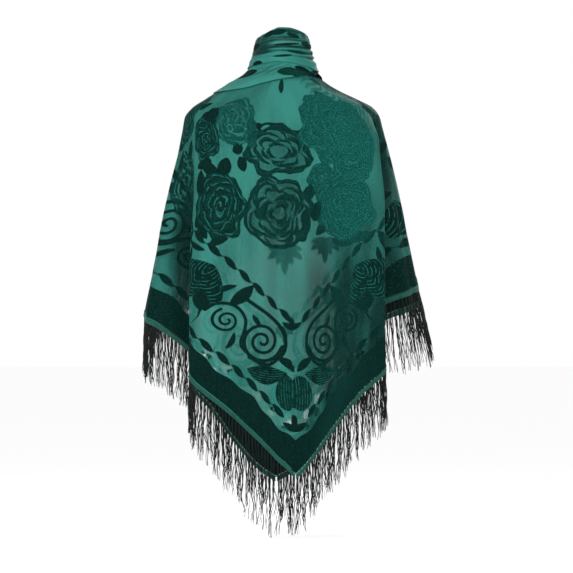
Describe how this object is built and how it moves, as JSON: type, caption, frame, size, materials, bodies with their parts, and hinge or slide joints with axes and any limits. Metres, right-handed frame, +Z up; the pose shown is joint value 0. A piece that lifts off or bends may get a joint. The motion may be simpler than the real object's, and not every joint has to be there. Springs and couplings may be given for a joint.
{
  "type": "fringed square shawl",
  "caption": "Square burnout velvet shawl with a long fringe, folded corner to corner, its point down the back and its ends wound round the neck.",
  "frame": {"origin": "on the neck's axis at the base of the wearer's neck, where the shawl is held", "axes": "+Z up along the neck, +Y the way the wearer faces, so the point hangs down the back on the -Y side, +X to the wearer's right, which is the right of the picture"},
  "size_m": [0.5984, 0.2943, 1.043],
  "materials": {
    "devore_cloth": "velvet pile pattern on a sheer ground",
    "fringe_yarn": "matte yarn"
  },
  "bodies": {
    "root": {"outer_layer": "devore_cloth", "inner_layer": "devore_cloth", "neck_wrap": "devore_cloth", "shoulder_wrap": "devore_cloth", "fringe_outer_left": "fringe_yarn", "fringe_outer_right": "fringe_yarn", "fringe_inner_left": "fringe_yarn", "fringe_inner_right": "fringe_yarn"}
  },
  "joints": []
}
